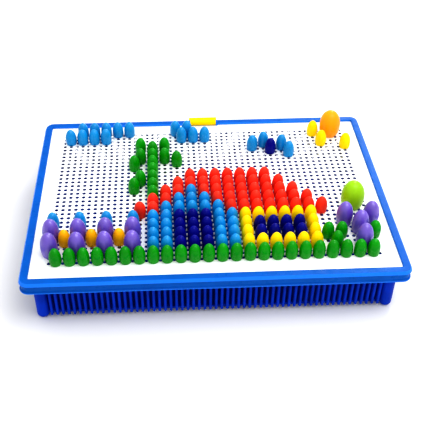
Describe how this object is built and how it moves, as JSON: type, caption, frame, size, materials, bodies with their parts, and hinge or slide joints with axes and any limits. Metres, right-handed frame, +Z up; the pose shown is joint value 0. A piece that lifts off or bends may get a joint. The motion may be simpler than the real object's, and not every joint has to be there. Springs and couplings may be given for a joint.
{
  "type": "peg mosaic board set",
  "caption": "Storage basket with slatted walls under a lift-off frame and perforated board, a hinged latch, and egg-headed pegs laid out as a house picture.",
  "frame": {"origin": "middle of the footprint at the level of the feet; the footprint includes the latch's small overhang at the back", "axes": "+X along the board's long side, +Y towards the latch at the back, +Z up"},
  "size_m": [0.322, 0.2372, 0.075],
  "materials": {
    "basket": "navy blue injection-moulded plastic, satin",
    "frame": "bright blue injection-moulded plastic, gloss",
    "board": "white moulded sheet, fine satin",
    "pin": "dark blue plastic rod",
    "latch": "yellow moulded plastic, satin",
    "peg_light_blue": "gloss",
    "peg_navy": "gloss",
    "peg_red": "gloss",
    "peg_yellow": "gloss",
    "peg_amber": "gloss",
    "peg_green": "gloss",
    "peg_purple": "gloss",
    "peg_orange": "gloss",
    "peg_lime": "gloss"
  },
  "bodies": {
    "base": {"floor_panel": "basket", "grille_front": "basket", "grille_back": "basket", "grille_left": "basket", "grille_right": "basket", "corner_post_front_left": "basket", "corner_post_front_right": "basket", "corner_post_back_left": "basket", "corner_post_back_right": "basket", "latch_catch": "basket"},
    "lid": {"lid_frame": "frame", "peg_board": "board", "latch_pin": "pin"},
    "latch": {"latch_flap": "latch"},
    "pegs_cloud_left": {"pegs_cloud_left": "peg_light_blue"},
    "pegs_palm_trunk": {"pegs_palm_trunk": "peg_green"},
    "pegs_palm_leaves": {"pegs_palm_leaves": "peg_green"},
    "pegs_roof": {"pegs_roof": "peg_red"},
    "pegs_gable": {"pegs_gable": "peg_light_blue"},
    "pegs_door": {"pegs_door": "peg_navy"},
    "pegs_window_frame": {"pegs_window_frame": "peg_yellow"},
    "pegs_window_panes": {"pegs_window_panes": "peg_navy"},
    "pegs_grass": {"pegs_grass": "peg_green"},
    "pegs_shrub": {"pegs_shrub": "peg_green"},
    "peg_sun": {"peg_sun": "peg_orange"},
    "peg_tree_crown": {"peg_tree_crown": "peg_lime"},
    "peg_sun_ray_1": {"peg_sun_ray_1": "peg_yellow"},
    "peg_sun_ray_2": {"peg_sun_ray_2": "peg_yellow"},
    "peg_sun_ray_3": {"peg_sun_ray_3": "peg_yellow"},
    "peg_cloud_middle_1": {"peg_cloud_middle_1": "peg_light_blue"},
    "peg_cloud_middle_2": {"peg_cloud_middle_2": "peg_light_blue"},
    "peg_cloud_middle_3": {"peg_cloud_middle_3": "peg_light_blue"},
    "peg_cloud_middle_4": {"peg_cloud_middle_4": "peg_light_blue"},
    "peg_cloud_middle_5": {"peg_cloud_middle_5": "peg_light_blue"},
    "peg_cloud_right_1": {"peg_cloud_right_1": "peg_light_blue"},
    "peg_cloud_right_2": {"peg_cloud_right_2": "peg_light_blue"},
    "peg_cloud_right_3": {"peg_cloud_right_3": "peg_light_blue"},
    "peg_cloud_right_4": {"peg_cloud_right_4": "peg_light_blue"},
    "peg_bird": {"peg_bird": "peg_navy"},
    "peg_flower_back_1": {"peg_flower_back_1": "peg_purple"},
    "peg_flower_back_2": {"peg_flower_back_2": "peg_purple"},
    "peg_flower_back_3": {"peg_flower_back_3": "peg_purple"},
    "peg_flower_back_4": {"peg_flower_back_4": "peg_purple"},
    "peg_flower_front_1": {"peg_flower_front_1": "peg_purple"},
    "peg_flower_front_2": {"peg_flower_front_2": "peg_purple"},
    "peg_flower_front_3": {"peg_flower_front_3": "peg_purple"},
    "peg_flower_front_4": {"peg_flower_front_4": "peg_purple"},
    "peg_flower_tip_1": {"peg_flower_tip_1": "peg_light_blue"},
    "peg_flower_tip_2": {"peg_flower_tip_2": "peg_light_blue"},
    "peg_flower_tip_3": {"peg_flower_tip_3": "peg_light_blue"},
    "peg_flower_tip_4": {"peg_flower_tip_4": "peg_light_blue"},
    "peg_flower_centre_1": {"peg_flower_centre_1": "peg_amber"},
    "peg_flower_centre_2": {"peg_flower_centre_2": "peg_amber"},
    "peg_flower_centre_3": {"peg_flower_centre_3": "peg_amber"},
    "peg_berry_1": {"peg_berry_1": "peg_purple"},
    "peg_berry_2": {"peg_berry_2": "peg_purple"},
    "peg_berry_3": {"peg_berry_3": "peg_purple"},
    "peg_berry_4": {"peg_berry_4": "peg_purple"}
  },
  "joints": [
    {"name": "lid_lift", "type": "slide", "parent": "base", "child": "lid", "axis": [0, 0, 1], "range_m": [0, 0.06]},
    {"name": "latch_turn", "type": "hinge", "parent": "lid", "child": "latch", "pos_m": [0, 0.1077, 0.0509], "axis": [1, 0, 0], "range_deg": [0, 95]},
    {"name": "pull_cloud_left", "type": "slide", "parent": "lid", "child": "pegs_cloud_left", "axis": [0, 0, 1], "range_m": [0, 0.025]},
    {"name": "pull_palm_trunk", "type": "slide", "parent": "lid", "child": "pegs_palm_trunk", "axis": [0, 0, 1], "range_m": [0, 0.025]},
    {"name": "pull_palm_leaves", "type": "slide", "parent": "lid", "child": "pegs_palm_leaves", "axis": [0, 0, 1], "range_m": [0, 0.025]},
    {"name": "pull_roof", "type": "slide", "parent": "lid", "child": "pegs_roof", "axis": [0, 0, 1], "range_m": [0, 0.025]},
    {"name": "pull_gable", "type": "slide", "parent": "lid", "child": "pegs_gable", "axis": [0, 0, 1], "range_m": [0, 0.025]},
    {"name": "pull_door", "type": "slide", "parent": "lid", "child": "pegs_door", "axis": [0, 0, 1], "range_m": [0, 0.025]},
    {"name": "pull_window_frame", "type": "slide", "parent": "lid", "child": "pegs_window_frame", "axis": [0, 0, 1], "range_m": [0, 0.025]},
    {"name": "pull_window_panes", "type": "slide", "parent": "lid", "child": "pegs_window_panes", "axis": [0, 0, 1], "range_m": [0, 0.025]},
    {"name": "pull_grass", "type": "slide", "parent": "lid", "child": "pegs_grass", "axis": [0, 0, 1], "range_m": [0, 0.025]},
    {"name": "pull_shrub", "type": "slide", "parent": "lid", "child": "pegs_shrub", "axis": [0, 0, 1], "range_m": [0, 0.025]},
    {"name": "pull_sun", "type": "slide", "parent": "lid", "child": "peg_sun", "axis": [0, 0, 1], "range_m": [0, 0.025]},
    {"name": "pull_tree_crown", "type": "slide", "parent": "lid", "child": "peg_tree_crown", "axis": [0, 0, 1], "range_m": [0, 0.025]},
    {"name": "pull_sun_ray_1", "type": "slide", "parent": "lid", "child": "peg_sun_ray_1", "axis": [0, 0, 1], "range_m": [0, 0.025]},
    {"name": "pull_sun_ray_2", "type": "slide", "parent": "lid", "child": "peg_sun_ray_2", "axis": [0, 0, 1], "range_m": [0, 0.025]},
    {"name": "pull_sun_ray_3", "type": "slide", "parent": "lid", "child": "peg_sun_ray_3", "axis": [0, 0, 1], "range_m": [0, 0.025]},
    {"name": "pull_cloud_middle_1", "type": "slide", "parent": "lid", "child": "peg_cloud_middle_1", "axis": [0, 0, 1], "range_m": [0, 0.025]},
    {"name": "pull_cloud_middle_2", "type": "slide", "parent": "lid", "child": "peg_cloud_middle_2", "axis": [0, 0, 1], "range_m": [0, 0.025]},
    {"name": "pull_cloud_middle_3", "type": "slide", "parent": "lid", "child": "peg_cloud_middle_3", "axis": [0, 0, 1], "range_m": [0, 0.025]},
    {"name": "pull_cloud_middle_4", "type": "slide", "parent": "lid", "child": "peg_cloud_middle_4", "axis": [0, 0, 1], "range_m": [0, 0.025]},
    {"name": "pull_cloud_middle_5", "type": "slide", "parent": "lid", "child": "peg_cloud_middle_5", "axis": [0, 0, 1], "range_m": [0, 0.025]},
    {"name": "pull_cloud_right_1", "type": "slide", "parent": "lid", "child": "peg_cloud_right_1", "axis": [0, 0, 1], "range_m": [0, 0.025]},
    {"name": "pull_cloud_right_2", "type": "slide", "parent": "lid", "child": "peg_cloud_right_2", "axis": [0, 0, 1], "range_m": [0, 0.025]},
    {"name": "pull_cloud_right_3", "type": "slide", "parent": "lid", "child": "peg_cloud_right_3", "axis": [0, 0, 1], "range_m": [0, 0.025]},
    {"name": "pull_cloud_right_4", "type": "slide", "parent": "lid", "child": "peg_cloud_right_4", "axis": [0, 0, 1], "range_m": [0, 0.025]},
    {"name": "pull_bird", "type": "slide", "parent": "lid", "child": "peg_bird", "axis": [0, 0, 1], "range_m": [0, 0.025]},
    {"name": "pull_flower_back_1", "type": "slide", "parent": "lid", "child": "peg_flower_back_1", "axis": [0, 0, 1], "range_m": [0, 0.025]},
    {"name": "pull_flower_back_2", "type": "slide", "parent": "lid", "child": "peg_flower_back_2", "axis": [0, 0, 1], "range_m": [0, 0.025]},
    {"name": "pull_flower_back_3", "type": "slide", "parent": "lid", "child": "peg_flower_back_3", "axis": [0, 0, 1], "range_m": [0, 0.025]},
    {"name": "pull_flower_back_4", "type": "slide", "parent": "lid", "child": "peg_flower_back_4", "axis": [0, 0, 1], "range_m": [0, 0.025]},
    {"name": "pull_flower_front_1", "type": "slide", "parent": "lid", "child": "peg_flower_front_1", "axis": [0, 0, 1], "range_m": [0, 0.025]},
    {"name": "pull_flower_front_2", "type": "slide", "parent": "lid", "child": "peg_flower_front_2", "axis": [0, 0, 1], "range_m": [0, 0.025]},
    {"name": "pull_flower_front_3", "type": "slide", "parent": "lid", "child": "peg_flower_front_3", "axis": [0, 0, 1], "range_m": [0, 0.025]},
    {"name": "pull_flower_front_4", "type": "slide", "parent": "lid", "child": "peg_flower_front_4", "axis": [0, 0, 1], "range_m": [0, 0.025]},
    {"name": "pull_flower_tip_1", "type": "slide", "parent": "lid", "child": "peg_flower_tip_1", "axis": [0, 0, 1], "range_m": [0, 0.025]},
    {"name": "pull_flower_tip_2", "type": "slide", "parent": "lid", "child": "peg_flower_tip_2", "axis": [0, 0, 1], "range_m": [0, 0.025]},
    {"name": "pull_flower_tip_3", "type": "slide", "parent": "lid", "child": "peg_flower_tip_3", "axis": [0, 0, 1], "range_m": [0, 0.025]},
    {"name": "pull_flower_tip_4", "type": "slide", "parent": "lid", "child": "peg_flower_tip_4", "axis": [0, 0, 1], "range_m": [0, 0.025]},
    {"name": "pull_flower_centre_1", "type": "slide", "parent": "lid", "child": "peg_flower_centre_1", "axis": [0, 0, 1], "range_m": [0, 0.025]},
    {"name": "pull_flower_centre_2", "type": "slide", "parent": "lid", "child": "peg_flower_centre_2", "axis": [0, 0, 1], "range_m": [0, 0.025]},
    {"name": "pull_flower_centre_3", "type": "slide", "parent": "lid", "child": "peg_flower_centre_3", "axis": [0, 0, 1], "range_m": [0, 0.025]},
    {"name": "pull_berry_1", "type": "slide", "parent": "lid", "child": "peg_berry_1", "axis": [0, 0, 1], "range_m": [0, 0.025]},
    {"name": "pull_berry_2", "type": "slide", "parent": "lid", "child": "peg_berry_2", "axis": [0, 0, 1], "range_m": [0, 0.025]},
    {"name": "pull_berry_3", "type": "slide", "parent": "lid", "child": "peg_berry_3", "axis": [0, 0, 1], "range_m": [0, 0.025]},
    {"name": "pull_berry_4", "type": "slide", "parent": "lid", "child": "peg_berry_4", "axis": [0, 0, 1], "range_m": [0, 0.025]}
  ]
}
